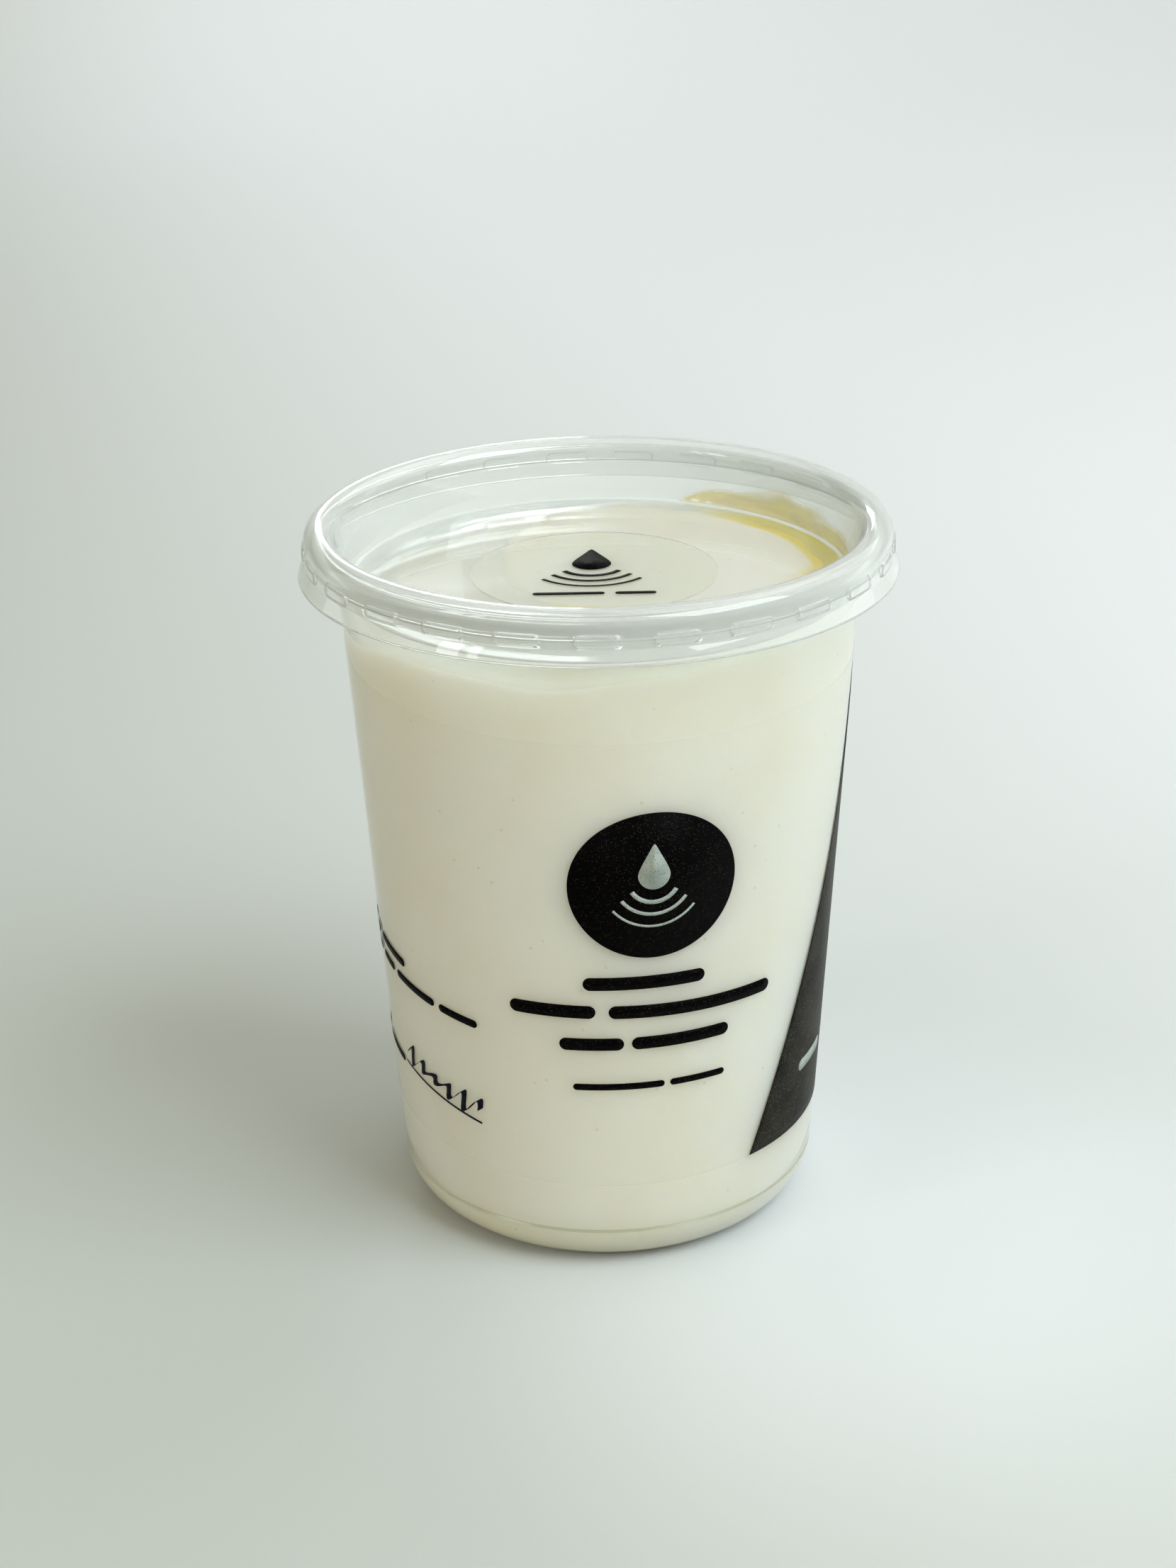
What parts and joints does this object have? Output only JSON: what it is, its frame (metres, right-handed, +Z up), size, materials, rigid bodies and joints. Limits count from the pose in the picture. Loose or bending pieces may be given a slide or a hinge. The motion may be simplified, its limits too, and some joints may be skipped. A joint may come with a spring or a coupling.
{
  "type": "yogurt pot",
  "caption": "Clear round plastic pot full of thick yogurt, shut by a clear snap lid with a sunk panel, with a clear film label round it and a round sticker on the lid.",
  "frame": {"origin": "centre of the foot, on the surface that the pot stands on", "axes": "+Z up along the pot's own axis, from the foot to the lid; the printed front of the label faces -Y, turned a little towards +X"},
  "size_m": [0.118, 0.118, 0.1462],
  "materials": {
    "clear_cup": "clear, slightly milky moulded plastic",
    "clear_lid": "clear moulded plastic, milkier in the thick ring",
    "yogurt": "dense pale cream, soft sheen",
    "label_film": "clear film, faintly pebbled, with black print",
    "sticker_film": "clear film with black print"
  },
  "bodies": {
    "root": {"cup": "clear_cup", "lid": "clear_lid", "yogurt": "yogurt", "side_label": "label_film", "lid_sticker": "sticker_film"}
  },
  "joints": []
}
